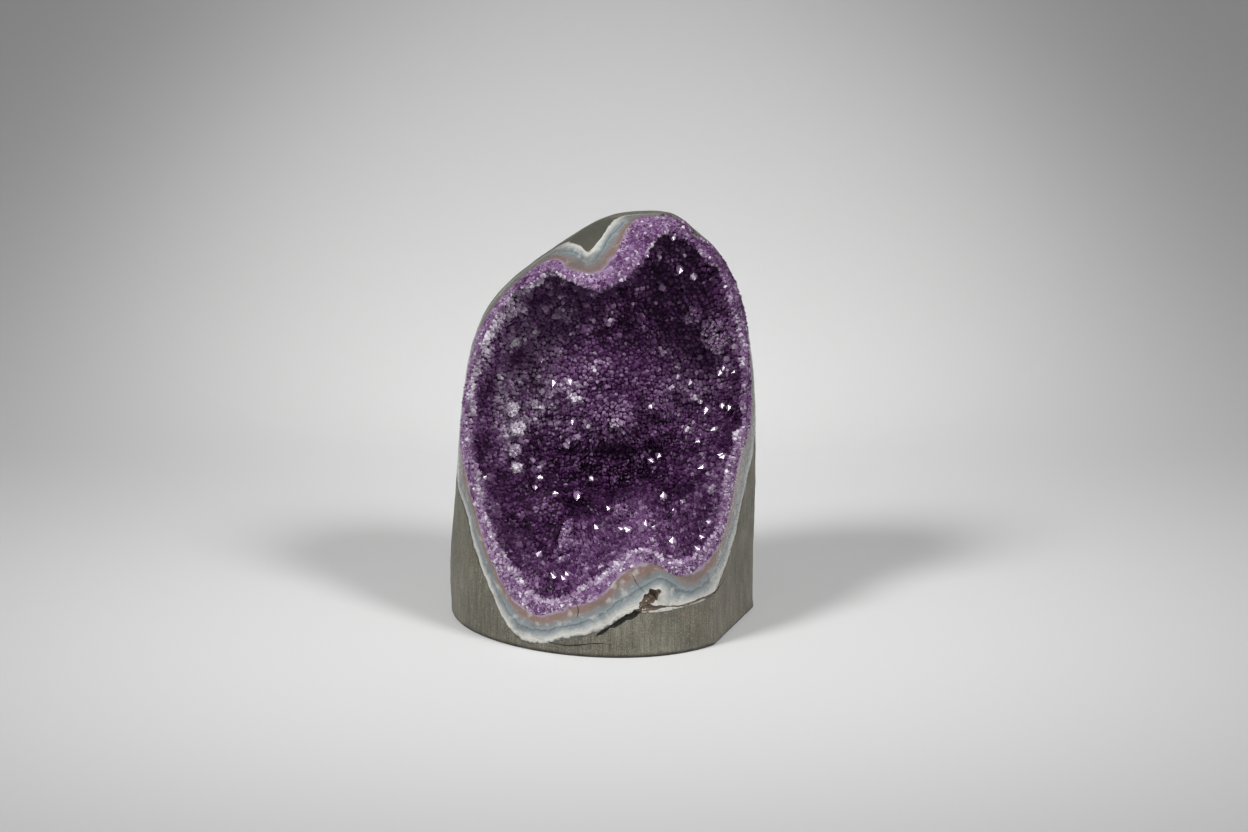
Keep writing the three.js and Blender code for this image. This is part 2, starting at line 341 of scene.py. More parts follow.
def bowl(layer, round_about, out):
    """out runs 0 to 1 from the axis to the wall, and 1 to 2 forward along the wall."""
    spread = np.sin(np.minimum(out, 1) * math.pi / 2)
    mouth = np.maximum(out - 1, 0) * WALL_REACH
    inward = np.maximum(1 - spread**2, 0) ** (1 / ROUNDNESS)
    radius, dx, dz = bowl_radius(layer, outline_places(layer, round_about), inward)
    radius = radius * spread * (1 + FLARE * mouth)
    swell = layer["bulge"] * np.exp(-((spread / 0.42) ** 2))
    z = radius * dz
    y = MOUTH_Y - mouth + (layer["depth"] - MOUTH_Y) * inward - swell - LEAN * z * inward**2
    return np.stack([AXIS_X + radius * dx, y, AXIS_Z + z], -1)


def bowl_facing(layer, round_about, out, step=0.004):
    """Unit vectors that point from the wall into the hollow."""
    back, fore = np.maximum(out - step, 0.001), out + step
    along = bowl(layer, round_about, fore) - bowl(layer, round_about, back)
    across = bowl(layer, round_about + step, out) - bowl(layer, round_about - step, out)
    facing = unit(np.cross(across, along))
    place = bowl(layer, round_about, out)
    inside = np.stack([AXIS_X - place[..., 0], -30 - place[..., 1], AXIS_Z - place[..., 2]], -1)
    return facing * np.sign((facing * inside).sum(-1, keepdims=True) + 1e-12)


def lumps(layer, points):
    """Height of the layer's relief; the bed's is calmer towards the thin rim."""
    total = sum(height * relief(points, size, seed, 1) for size, height, seed in layer["relief"])
    return total * (0.4 + 0.6 * eased(points[..., 1], -16, 8)) if layer is BED else total


def rough_bowl(layer, round_about, out):
    place = bowl(layer, round_about, out)
    facing = bowl_facing(layer, round_about, out)
    return place + facing * lumps(layer, place)[..., None], facing


# %% [markdown]
# ## Closed skins and clean cuts
# A ring grid becomes a closed skin with a fan at each end. The layers are then made as a
# lapidary would meet them: the stone minus one bowl is the basalt, the stone inside that
# bowl minus the next is the agate, and so on. Exact booleans keep each piece closed.

# %% Skins and booleans


def closed_skin(name, grid, first, last):
    rows, around = grid.shape[:2]
    ids = np.arange(rows * around).reshape(rows, around)
    beside = np.roll(ids, -1, 1)
    quads = np.stack([ids[:-1], ids[1:], beside[1:], beside[:-1]], -1).reshape(-1, 4)
    top, bottom = rows * around, rows * around + 1
    points = np.concatenate([grid.reshape(-1, 3), [first], [last]])
    faces = [*quads.tolist(), *[(top, a, b) for a, b in zip(ids[0], beside[0])]]
    faces += [(bottom, b, a) for a, b in zip(ids[-1], beside[-1])]
    a, b, c = (points[quads[:, i]] for i in range(3))
    if (np.cross(b - a, c - a) * (a - points.mean(0))).sum() < 0:
        faces = [tuple(reversed(face)) for face in faces]
    return mesh_object(name, points, faces)


def mesh_object(name, points, faces):
    mesh = bpy.data.meshes.new(name)
    shifted = (np.asarray(points) + np.array([MIDDLE_X, 0, 0])) * MM
    mesh.from_pydata(shifted.tolist(), [], [tuple(int(i) for i in face) for face in faces])
    made = bpy.data.objects.new(name, mesh)
    bpy.context.collection.objects.link(made)
    return made


def bowl_skin(name, layer, around=480, floor_rows=64, wall_rows=46):
    out = np.concatenate([np.linspace(0, 1, floor_rows + 1)[1:],
                          1 + np.linspace(0, 0.62, wall_rows)[1:], [1.95]])
    grid, _ = rough_bowl(layer, np.linspace(0, 1, around, endpoint=False)[None, :], out[:, None])
    floor, _ = rough_bowl(layer, np.array([0.0]), np.array([0.002]))
    front = np.array([AXIS_X, grid[-1, :, 1].mean(), AXIS_Z])
    return closed_skin(name, grid, floor[0], front)


def cut(name, body, tool, operation):
    """A new object: body cut by, or kept inside, the tool."""
    made = body.copy()
    made.data = body.data.copy()
    made.name = name
    bpy.context.collection.objects.link(made)
    step = made.modifiers.new("cut", "BOOLEAN")
    step.operation = operation
    step.solver = "MANIFOLD"
    step.object = tool
    bpy.context.view_layer.update()
    shape = made.evaluated_get(bpy.context.evaluated_depsgraph_get())
    made.data = bpy.data.meshes.new_from_object(shape)
    made.modifiers.clear()
    return made


def points_of(piece):
    """The piece's corner points in the stone's own millimetres."""
    flat = np.empty(len(piece.data.vertices) * 3)
    piece.data.vertices.foreach_get("co", flat)
    return flat.reshape(-1, 3) / MM - np.array([MIDDLE_X, 0, 0])


def store(piece, name, values):
    layer = piece.data.attributes.new(name, "FLOAT", "POINT")
    layer.data.foreach_set("value", np.asarray(values, np.float32))


def settle(piece, finish, nodes, crease=0.6):
    """Gives a piece its finish, its place in the frame and the CAD nodes it stands for."""
    piece.data.materials.clear()
    piece.data.materials.append(finish)
    if crease is not None:
        bpy.context.view_layer.objects.active = piece
        bpy.ops.object.select_all(action="DESELECT")
        piece.select_set(True)
        bpy.ops.object.shade_smooth_by_angle(angle=crease)
    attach(piece, "root")
    if nodes:
        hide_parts(*nodes)
    print(piece.name, len(piece.data.polygons), "faces")


whole = closed_skin("whole_stone", stone, (21, WIDEST_Y, 185.6), (0, WIDEST_Y, 0))
basalt_bowl = bowl_skin("basalt_bowl", BASALT_INSIDE)
agate_bowl = bowl_skin("agate_bowl", AGATE_INSIDE)
bed_bowl = bowl_skin("bed_bowl", BED)

skin_tree = BVHTree.FromObject(whole, bpy.context.evaluated_depsgraph_get())
print("ground skin", len(whole.data.polygons), "faces")

# %% [markdown]
# ## Crevice, pocket and cracks
# Low on the right the rind has come away from the basalt along a crevice, and a small
# pocket opens where the bands arch. Each is cut by a worm-shaped tool whose width wavers,
# and the whole stone is cut before it is split, so that both layers show the opening.

# %% Openings in the ground face
GROOVES = [
    # name, half width, then x and z of points along the middle
    ("crevice", 1.35, [(-3, 10), (4, 14.6), (10, 18.6), (16, 21.4), (22, 22.6), (29, 22.6)]),
    ("crevice_end", 0.5, [(27, 22.7), (35, 22.2), (43, 23.3), (50, 24.6), (55, 27)]),
    ("pocket", 2.3, [(16.6, 22.6), (19, 25.8), (22, 28.4), (25.4, 30.4)]),
    ("crack_high", 0.32, [(12.6, 38.6), (15, 34), (19, 29.2)]),
    ("crack_left", 0.28, [(-12, 25.5), (-10.6, 21.6), (-11.2, 17.6)]),
    ("crack_foot", 0.3, [(-33, 7.4), (-18, 4.6), (-3, 6.6), (5, 6.2)])]


def front_of(x, z):
    """The place and facing of the ground skin, straight back from a point in front of it."""
    start = Vector(((x + MIDDLE_X) * MM, -0.1, z * MM))
    place, normal, _, _ = skin_tree.ray_cast(start, Vector((0, 1, 0)))
    return np.array(place) / MM - np.array([MIDDLE_X, 0, 0]), np.array(normal)


def worm(name, half_width, middle, rows=48, around=14):
    """A closed tool along a line on the skin, as wide as half_width in its middle."""
    share = np.linspace(0, 1, rows)
    spots = curve_through(middle, share)
    path, normals = (np.array(part) for part in zip(*(front_of(x, z) for x, z in spots)))
    along = unit(np.gradient(path, axis=0))
    across = unit(np.cross(along, normals))
    jagged = 1 + 0.45 * relief(path, 2.8, 71) + 0.2 * relief(path, 0.9, 72)
    reach = half_width * np.maximum(np.sin(math.pi * share), 0.06) ** 0.6 * jagged
    path = path + across * (relief(path, 3, 73) * half_width * 0.5)[:, None]
    turn = np.linspace(0, 2 * math.pi, around, endpoint=False)
    ring = across[:, None] * np.cos(turn)[:, None] + normals[:, None] * np.sin(turn)[:, None] * 1.2
    grid = path[:, None] + ring * reach[:, None, None]
    return closed_skin(name, grid, path[0], path[-1])


for name, half_width, middle in GROOVES:
    tool = worm(name, half_width, middle)
    grooved = cut("grooved", whole, tool, "DIFFERENCE")
    print(name, "cut,", len(grooved.data.polygons), "faces")
    for used in (tool, whole):
        bpy.data.objects.remove(used)
    whole = grooved

# %% [markdown]
# ## Splitting the stone into its layers
# What lies outside the first bowl is basalt, what lies between the first and the second
# is agate, and the crystals' crust is the rest. The fresh cuts meet exactly.

# %% Layers
basalt_shell = cut("basalt_shell_ground", whole, basalt_bowl, "DIFFERENCE")
inside_basalt = cut("inside_basalt", whole, basalt_bowl, "INTERSECT")
agate_rind = cut("agate_rind_polished", inside_basalt, agate_bowl, "DIFFERENCE")
inside_agate = cut("inside_agate", inside_basalt, agate_bowl, "INTERSECT")
crystal_crust = cut("amethyst_crust_cut", inside_agate, bed_bowl, "DIFFERENCE")

for tool in (whole, basalt_bowl, agate_bowl, bed_bowl, inside_basalt, inside_agate):
    bpy.data.objects.remove(tool)
for piece in (basalt_shell, agate_rind, crystal_crust):
    print(piece.name, len(piece.data.vertices), "points")

# %% [markdown]
# ## Where a point lies between the layers
# The bands of the agate follow its two walls, so each point of the ground face carries a
# number: 0 at the basalt and 1 at the crystals. A node pattern alone could not know that.
# More numbers mark the pits, the sawn foot, the fold and the chalky stretch of the rind.

# %% Layer numbers


def wall_radius(layer, points):
    """How far the layer's inner wall is from the axis, at the angle and depth of each point."""
    x, y, z = points[..., 0] - AXIS_X, points[..., 1], points[..., 2] - AXIS_Z
    ring = outline_places(layer, np.linspace(0, 1, OUTLINE_STEPS, endpoint=False))
    ring_angle = np.arctan2(ring[:, 1], ring[:, 0]) % (2 * math.pi)
    order = np.argsort(ring_angle)
    ring_length = np.linalg.norm(ring, axis=-1)[order]
    angle = np.arctan2(z, x) % (2 * math.pi)
    length = np.interp(angle, ring_angle[order], ring_length, period=2 * math.pi)
    near = np.stack([length * np.cos(angle), length * np.sin(angle)], -1)
    inward = np.clip((y - MOUTH_Y) / (layer["depth"] - MOUTH_Y), 0, 0.999)
    for _ in range(3):
        inward = np.clip((y + LEAN * z * inward**2 - MOUTH_Y) / (layer["depth"] - MOUTH_Y), 0, 0.999)
    spread = (1 - inward**ROUNDNESS) ** 0.5
    radius, _, _ = bowl_radius(layer, near, inward)
    return radius * spread * (1 + FLARE * np.maximum(MOUTH_Y - y, 0)) - lumps(layer, points)


def from_axis(points):
    return np.hypot(points[..., 0] - AXIS_X, points[..., 2] - AXIS_Z)


def bearing(points):
    """The angle of each point about the bowls' axis, in degrees from the right, upwards."""
    return np.degrees(np.arctan2(points[:, 2] - AXIS_Z, points[:, 0] - AXIS_X)) % 360


def by_bearing(points, table):
    angles, values = np.array(table).T
    return np.interp(bearing(points), angles, values)


def skin_depth(points):
    """How deep each point lies under the ground skin, in millimetres."""
    depths = np.empty(len(points))
    for i, spot_mm in enumerate(points):
        here = Vector((spot_mm + np.array([MIDDLE_X, 0, 0])) * MM)
        near, normal, _, _ = skin_tree.find_nearest(here)
        depths[i] = (near - here).dot(normal) / MM
    return depths


# %% [markdown]
# ## The numbers each layer carries
# On the back the wall of a bowl says nothing about the rim, so the basalt there is simply
# far past it. Near the pocket the bands arch round it, which a soft minimum gives.

# %% Numbers on the layers
BACK_STARTS_Y = 30
FAR_PAST_RIM = 50
PIT_DEPTH = 0.5
FOOTING_DEPTH = 0.8
BAND_BLEND = 11
POCKET_LOW = np.array([16.5, 23])
POCKET_HIGH = np.array([25, 30])
ARCH_REACH = 13
FOLD_PLACE = np.array([-4, 2, 176])
CHALK = [(0, 0.3), (60, 0.1), (120, 0.05), (165, 0.2), (195, 0.45), (222, 0.85), (250, 1),
         (290, 1), (312, 0.8), (330, 0.5), (360, 0.3)]


def pocket_gap(points):
    """Distance of each point from the pocket's middle line, seen from the front."""
    flat = points[:, [0, 2]] - POCKET_LOW
    line = POCKET_HIGH - POCKET_LOW
    share = np.clip(flat @ line / (line @ line), 0, 1)
    return np.linalg.norm(flat - share[:, None] * line, axis=-1)


basalt_points = points_of(basalt_shell)
past_rim = from_axis(basalt_points) - wall_radius(BASALT_INSIDE, basalt_points)
store(basalt_shell, "past_rim", np.where(basalt_points[:, 1] > BACK_STARTS_Y, FAR_PAST_RIM, past_rim))
store(basalt_shell, "pit", np.clip(skin_depth(basalt_points) / PIT_DEPTH, 0, 1))
store(basalt_shell, "foot", eased(-basalt_points[:, 2], -2.6, -0.3))
fold_gap = np.linalg.norm(basalt_points - FOLD_PLACE - [-3, 0, 4], axis=-1)
store(basalt_shell, "fold", eased(-fold_gap, -19, -11))

agate_points = points_of(agate_rind)
outer = wall_radius(BASALT_INSIDE, agate_points)
inner = wall_radius(AGATE_INSIDE, agate_points)
share = np.clip((outer - from_axis(agate_points)) / np.maximum(outer - inner, 0.5), 0, 1)
arch = pocket_gap(agate_points) / ARCH_REACH
share = -np.log(np.exp(-BAND_BLEND * share) + np.exp(-BAND_BLEND * arch)) / BAND_BLEND
store(agate_rind, "layer", np.clip(share, 0, 1))
store(agate_rind, "pit", np.clip(skin_depth(agate_points) / PIT_DEPTH, 0, 1))
fold_gap = np.linalg.norm(agate_points - FOLD_PLACE, axis=-1)
chalk = by_bearing(agate_points, CHALK) + 1.15 * np.exp(-((fold_gap / 17) ** 4))
store(agate_rind, "chalk", np.clip(chalk + 0.15 * relief(agate_points, 9, 63), 0, 1))

crust_points = points_of(crystal_crust)
outer = wall_radius(AGATE_INSIDE, crust_points)
store(crystal_crust, "margin", outer - from_axis(crust_points))
store(crystal_crust, "deep", np.clip(skin_depth(crust_points) / FOOTING_DEPTH, 0, 1))

# %% [markdown]
# ## Ground basalt
# Basalt that has met a grinding belt is a dull grey-green with fine upright scratches,
# dark and light specks of its minerals, and a few rusty stains. The scratches are noise
# squeezed sideways and drawn out upright, used in the colour and in a shallow bump.

# %% Basalt finish


def spot(wire, centre_mm, radius_mm):
    """1 inside a soft round spot about a point in the stone's own millimetres."""
    place = wire.node("ShaderNodeTexCoord", output=3)
    middle = [(c + s) * MM for c, s in zip(centre_mm, (MIDDLE_X, 0, 0))]
    gap = wire.node("ShaderNodeVectorMath", {"operation": "DISTANCE"}, {0: place, 1: middle}, 1)
    return gap.between(radius_mm * MM, radius_mm * MM * 0.3)


def basalt_finish():
    finish, wire, surface = new_finish("ground basalt", IOR=1.5)
    scratches = wire.grain(1500, 2, (1, 1, 0.05))
    broad = wire.grain(420, 3, (1, 1, 0.09))
    specks = wire.grain(2300, 2)
    patches = wire.grain(45, 4)
    tone = scratches * 0.36 + broad * 0.20 + specks * 0.78 + patches * 0.46 - 0.40
    stone_colour = tone.ramp([(0.2, (0.030, 0.027, 0.020)), (0.44, (0.100, 0.094, 0.070)),
                              (0.56, (0.155, 0.147, 0.112)), (0.8, (0.30, 0.28, 0.22))])
    rust = wire.grain(260, 5).between(0.54, 0.66) * wire.grain(30, 3).between(0.5, 0.66)
    stain = spot(wire, (-66, -8, 12), 15) + spot(wire, (27, -55, 7), 13)
    rusty = (rust * (stain * 0.9 + 0.4)).blend(stone_colour, (0.20, 0.105, 0.070))
    crevice = wire.stored("past_rim") + wire.grain(300, 3) * 2.2
    edge = (1 - crevice.between(1.0, 2.0)) * wire.grain(70, 2).between(0.42, 0.55)
    coloured = (edge * 0.85).blend(rusty, (0.022, 0.024, 0.020))
    flecks = wire.grain(900, 2).between(0.62, 0.72)
    flecked = (flecks * 0.5).blend(coloured, (0.32, 0.30, 0.24))
    raw = (wire.stored("fold") * 0.75).blend(flecked, (0.050, 0.050, 0.040))
    # Painted shade: a dark brown line along the bottom edge, standing in for the contact shadow where
    # the stone meets the floor.
    foot_shade = wire.stored("foot") * (wire.grain(160, 3) * 0.9 + 0.35)
    foot_shaded = foot_shade.between(0, 0.9).blend(raw, (0.024, 0.017, 0.012))
    # Painted shade: basalt faces sunk under the ground face, inside the crevice, pocket and cracks,
    # are darkened to near black.
    shown = wire.stored("pit").between(0.05, 0.7).blend(foot_shaded, (0.012, 0.011, 0.009))
    height = scratches * 0.5 + specks * 0.5 - edge * 1.2
    feed(surface, Base_Color=shown, Roughness=0.70 - scratches * 0.3,
         Normal=bump(height, 0.7, 0.3))
    return finish


settle(basalt_shell, basalt_finish(), ["basalt_shell"])

# %% [markdown]
# ## Polished agate
# The rind is chalcedony in thin bands. Next to the basalt it is chalk white, then milky
# blue-grey with a thin dark line, and a rusty brown band marks where the quartz began.
# Two ramps over the layer number give them, a bright one where the rind is chalky and a
# dim one elsewhere, and noise pushes them about so that no band is even.

# %% Agate finish


def agate_finish():
    finish, wire, surface = new_finish("polished agate", IOR=1.54, Coat_Weight=0.35)
    wander = wire.grain(90, 3) * 0.32 + wire.grain(420, 4) * 0.20 - 0.26
    level = wire.stored("layer") + wander
    milky = level.ramp([(0, (0.10, 0.10, 0.09)), (0.03, (0.44, 0.43, 0.39)),
                        (0.09, (0.66, 0.65, 0.60)), (0.20, (0.50, 0.50, 0.47)),
                        (0.30, (0.29, 0.32, 0.33)), (0.40, (0.20, 0.235, 0.25)),
                        (0.44, (0.10, 0.125, 0.14)), (0.48, (0.25, 0.285, 0.30)),
                        (0.60, (0.19, 0.21, 0.22)), (0.68, (0.24, 0.205, 0.195)),
                        (0.79, (0.235, 0.142, 0.112)), (0.92, (0.23, 0.14, 0.125)),
                        (1, (0.40, 0.31, 0.38))])
    dim = level.ramp([(0, (0.085, 0.082, 0.068)), (0.12, (0.20, 0.195, 0.175)),
                      (0.35, (0.13, 0.13, 0.125)), (0.62, (0.15, 0.125, 0.115)),
                      (0.85, (0.16, 0.105, 0.095)), (1, (0.27, 0.20, 0.27))])
    bands = wire.stored("chalk").blend(dim, milky)
    streaks = level.math("SINE", level * 95)
    faint = (streaks * 0.5 + 0.5) * 0.20
    lined = faint.blend(bands, (0.10, 0.115, 0.12))
    cloud = wire.grain(240, 4).between(0.52, 0.72) * wire.stored("chalk") * 0.5
    cloudy = cloud.blend(lined, (0.62, 0.61, 0.57))
    stained = (wire.grain(130, 4).between(0.55, 0.70) * 0.45).blend(cloudy, (0.10, 0.105, 0.10))
    hollow = wire.grain(600, 3).blend((0.05, 0.036, 0.026), (0.24, 0.175, 0.13))
    shown = wire.stored("pit").between(0.05, 0.7).blend(stained, hollow)
    feed(surface, Base_Color=shown, Roughness=wire.grain(400, 2) * 0.2 + 0.16,
         Normal=bump(wire.grain(500, 3), 0.3, 0.2))
    return finish


settle(agate_rind, agate_finish(), ["agate_rind"])

# %% [markdown]
# ## The cut edge of the crystal bed
# Where the grinder went through the bed, the points are cut across: a lilac mosaic of
# grains, darker towards the hollow. Under the standing points the bed is painted almost
# black, as painted shade between them. Voronoi cells give the grains.

# %% Crust finish


def crust_finish():
    finish, wire, surface = new_finish("cut amethyst", IOR=1.54, Specular_IOR_Level=0.12)
    grain_tone = wire.cells(620, 1).node("ShaderNodeSeparateColor", {}, {0: wire.cells(620, 1)})
    joints = wire.cells(620)
    depth = wire.stored("margin") + wire.grain(170, 3) * 6 - 3
    tone = grain_tone * 0.42 + wire.grain(900, 3) * 0.36 - depth.between(0, 12) * 0.22 + 0.16
    lilac = tone.ramp([(0, (0.050, 0.013, 0.062)), (0.32, (0.125, 0.050, 0.145)),
                       (0.56, (0.26, 0.155, 0.29)), (0.76, (0.44, 0.35, 0.47)),
                       (1, (0.72, 0.67, 0.74))])
    # Painted shade: the bed under the standing points, hidden between them, is painted almost black.
    shaded_footing = wire.stored("deep").blend(lilac, (0.022, 0.006, 0.026))
    feed(surface, Base_Color=shaded_footing, Roughness=grain_tone * 0.3 + 0.4,
         Normal=bump(joints + grain_tone * 0.5, 0.5, 0.3))
    return finish


settle(crystal_crust, crust_finish(), ["amethyst_crust"])

# %% [markdown]
# ## Quartz points
# A quartz point is a six-sided column under a six-sided tip, whose faces lean in at about
# 38 degrees to the axis; every second face is larger. Thousands of them are built at once
# with arrays, each a closed body of its own, rooted in the bed.

# %% Crystal builder
TIP_SLOPE = 1.27
CORNERS = 14


def crystals(foot, axis, radius, stub, rng, side=None):
    """Points and faces of many quartz points; stub is the free length of the column."""
    count = len(foot)
    if side is None:
        side = rng.normal(size=(count, 3))
    side = unit(side - (side * axis).sum(-1, keepdims=True) * axis)
    other = np.cross(axis, side)
    angles = np.radians(60) * np.arange(6)
    around = side[:, None] * np.cos(angles)[:, None] + other[:, None] * np.sin(angles)[:, None]
    wobble = rng.uniform(0.86, 1.14, (count, 6, 1))
    spokes = around * radius[:, None, None] * wobble
    rise = stub[:, None] + radius[:, None] * 0.22 * (-1.0) ** np.arange(6)
    shoulder = foot[:, None] + spokes + axis[:, None] * rise[..., None]
    waist = foot[:, None] + spokes * 0.97 - axis[:, None] * radius[:, None, None] * 0.35
    lean = around[:, 0] * (radius * rng.uniform(-0.2, 0.2, count))[:, None]
    tip = foot + axis * (stub + radius * TIP_SLOPE)[:, None] + lean
    root = foot - axis * (radius * 1.5)[:, None]
    points = np.concatenate([tip[:, None], shoulder, waist, root[:, None]], 1)
    ring = [(k, (k + 1) % 6) for k in range(6)]
    faces = [(0, 1 + a, 1 + b) for a, b in ring]
    faces += [(1 + b, 1 + a, 7 + a, 7 + b) for a, b in ring]
    faces += [(13, 7 + b, 7 + a) for a, b in ring]
    return points, faces


def ground_flat(points, margin=0.06):
    """Moves whatever would stand out of the stone back to its ground skin."""
    flat = points.reshape(-1, 3)
    for i, spot_mm in enumerate(flat):
        here = Vector((spot_mm + np.array([MIDDLE_X, 0, 0])) * MM)
        near, normal, _, _ = skin_tree.find_nearest(here, 0.006)
        if near is None:
            continue
        above = (here - near).dot(normal) / MM + margin
        if above > 0:
            flat[i] = spot_mm - np.array(normal) * above
    return flat.reshape(points.shape)


def bake_layout(piece, count):
    """Lays the faces of every crystal out in its own square of a UV map."""
    across = math.ceil(math.sqrt(count))
    angles = np.radians(60) * np.arange(7)
    fan = np.stack([np.cos(angles), np.sin(angles)], -1) * 0.2
    square = []
    for k in range(6):
        square += [(0.25, 0.25), fan[k] + 0.25, fan[k + 1] + 0.25]
    for k in range(6):
        left, right = 0.05 + 0.15 * k, 0.19 + 0.15 * k
        square += [(right, 0.95), (left, 0.95), (left, 0.58), (right, 0.58)]
    for k in range(6):
        square += [(0.75, 0.25), fan[k + 1] + (0.75, 0.25), fan[k] + (0.75, 0.25)]
    square = np.array(square)
    place = np.stack([np.arange(count) % across, np.arange(count) // across], -1)
    uv = (place[:, None] + square) / across
    layer = piece.data.uv_layers.new(name="OFBake")
    layer.data.foreach_set("uv", uv.reshape(-1).astype(np.float32))


def crystal_piece(name, points, faces, tint, gloss):
    count = len(points)
    start = np.arange(count) * CORNERS
    all_faces = [tuple(s + i for i in face) for s in start.tolist() for face in faces]
    piece = mesh_object(name, points.reshape(-1, 3), all_faces)
    store(piece, "tint", np.repeat(tint, CORNERS))
    store(piece, "gloss", np.repeat(gloss, CORNERS))
    bake_layout(piece, count)
    return piece


# %% [markdown]
# ## Amethyst finish
# Violet sits unevenly in quartz: points near the rim are pale and deep ones almost black.
# A number on each crystal picks its place on one ramp of violets.
# Small points are frosted by etching and shine little; the few large ones are clean.

# %% Amethyst finish


def amethyst_finish(name, shine):
    finish, wire, surface = new_finish(name, IOR=1.55, Specular_IOR_Level=shine)
    tone = wire.stored("tint") + wire.grain(1500, 3) * 0.34 - 0.17
    violet = tone.ramp([(0, (0.018, 0.004, 0.022)), (0.22, (0.056, 0.015, 0.066)),
                        (0.45, (0.136, 0.055, 0.154)), (0.68, (0.30, 0.190, 0.325)),
                        (0.86, (0.53, 0.455, 0.55)), (1, (0.76, 0.72, 0.77))])
    frost = 0.42 - wire.stored("gloss") * 0.36
    feed(surface, Base_Color=violet, Roughness=frost)
    return finish


amethyst = amethyst_finish("amethyst points", 0.2)
clean_amethyst = amethyst_finish("clean amethyst points", 0.34)

# %% [markdown]
# ## Faces that flash
# A clean tip face flashes white when it sends a lamp's light back to the viewer. That
# needs a face normal halfway between the two directions, and the crystal's axis stands 52
# degrees from that normal. A few points are turned so; the rest lean as chance has it.

# %% Flashing points
LAMPS = np.array([(-1000, -840, 1350), (1000, -840, 1350)])
VIEWER = np.array(CAMERA_PLACE) / MM
FACE_TILT = math.radians(38)


def halfway_to(foot, lamp):
    return unit(unit(VIEWER - foot) + unit(lamp - foot))


def leaning(facing, halfway):
    """Axes and side directions that bring one tip face near the halfway line."""
    across = unit(facing - (facing * halfway).sum(-1, keepdims=True) * halfway)
    axis = halfway * math.sin(FACE_TILT) + across * math.cos(FACE_TILT)
    spoke = halfway * math.cos(FACE_TILT) - across * math.sin(FACE_TILT)
    other = np.cross(axis, spoke)
    return axis, spoke * math.cos(math.radians(30)) - other * math.sin(math.radians(30))


def squared_up(points, foot, halfway):
    """Turns each crystal about its foot until its first tip face is square to the line."""
    tip = points[:, 0]
    face = unit(np.cross(points[:, 1] - tip, points[:, 2] - tip))
    axle = np.cross(face, halfway)[:, None]
    cosine = (face * halfway).sum(-1)[:, None, None]
    arms = points - foot[:, None]
    along = (axle * arms).sum(-1, keepdims=True)
    turned = arms * cosine + np.cross(axle, arms) + axle * along / (1 + cosine)
    return foot[:, None] + turned


# %% [markdown]
# ## Sowing the bed
# The points stand in rings round the hollow, each ring as far from the next as a point is
# wide, with a random shift so that no row shows. They lean at random from the wall, and
# those that would poke through the ground skin are cut flat by it.

# %% Bed of crystals
SPACING = 1.75
BED_TONE = 0.315
NEAR_SKIN = 5
PALE_SPOTS = [
    # angle, share out, radius in mm, strength; dark ones have a negative strength
    (162, 0.80, 7, 0.30), (177, 0.77, 7, 0.22), (200, 0.80, 7, 0.24), (188, 0.74, 15, 0.13),
    (38, 0.87, 9, 0.30), (240, 0.77, 6, 0.24), (252, 0.92, 6, 0.24), (150, 0.62, 6, 0.2),
    (109, 0.69, 6, 0.14), (90, 0.57, 6, 0.12), (350, 0.15, 14, 0.08), (281, 0.96, 5, 0.25),
    # The dark spot at 76 degrees is painted shadow, under the overhanging fold at the top.
    (295, 0.76, 6, 0.18), (20, 0.55, 8, 0.10), (76, 0.72, 13, -0.13), (250, 1.0, 8, -0.12),
    (322, 0.98, 9, -0.12), (300, 0.80, 17, -0.10), (238, 0.84, 15, -0.09),
    (224, 0.86, 7, -0.10), (215, 0.55, 9, -0.06),
    (138, 0.90, 26, 0.26), (175, 0.60, 22, 0.15), (270, 0.72, 20, -0.25), (20, 0.75, 18, 0.06)]


def around_at(layer, degrees):
    """The share round an outline at which an angle lies."""
    places = np.linspace(0, 1, OUTLINE_STEPS, endpoint=False)
    ring = outline_places(layer, places)
    angle = np.degrees(np.arctan2(ring[:, 1], ring[:, 0]))
    off = np.abs((angle - degrees + 180) % 360 - 180)
    return places[np.argmin(off)]


def out_at(spread):
    return np.arcsin(np.clip(spread, 0, 1)) / (math.pi / 2)


def sow(rng):
    """Shares round and out for every crystal foot, about evenly spaced over the bed."""
    fine = np.linspace(0.004, 1.56, 900)
    ring = np.linspace(0, 1, 361)
    grid = bowl(BED, ring[None, :], fine[:, None])
    length = np.concatenate([[0], np.cumsum(np.linalg.norm(np.diff(grid, axis=0), axis=-1).mean(1))])
    rows = np.interp(np.arange(SPACING / 2, length[-1], SPACING * 0.93), length, fine)
    feet = []
    for out in rows:
        loop = bowl(BED, ring, np.full(ring.shape, out))
        travel = np.concatenate([[0], np.cumsum(np.linalg.norm(np.diff(loop, axis=0), axis=-1))])
        count = max(3, int(travel[-1] / SPACING))
        stops = (np.arange(count) + rng.uniform(-0.32, 0.32, count) + rng.uniform()) / count % 1
        places = np.interp(stops * travel[-1], travel, ring)
        shaken = out + rng.uniform(-0.35, 0.35, count) * (rows[5] - rows[4])
        feet.append(np.stack([places, shaken], -1))
    return np.concatenate(feet)


def bed_slope(points, facing, step=0.4):
    """The facing of the lumpy bed, from how fast its lumps rise."""
    here = lumps(BED, points)
    rise = [lumps(BED, points + step * np.eye(3)[k]) - here for k in range(3)]
    slope = np.stack(rise, -1) / step
    slope -= (slope * facing).sum(-1, keepdims=True) * facing
    return unit(facing - slope)


PALE_WIDTH = [(0, 4), (60, 3), (80, 6), (100, 9), (140, 12), (180, 7), (200, 9), (235, 11),
              (265, 9), (290, 8), (310, 8), (330, 6), (360, 4)]


def pale_rim(points, depth):
    """Extra paleness near the ground skin, in a zone that is wider low down on the left."""
    width = by_bearing(points, PALE_WIDTH) * (1 + 0.35 * relief(points, 9, 57))
    return 0.42 * eased(-depth / width, -1.15, -0.15)


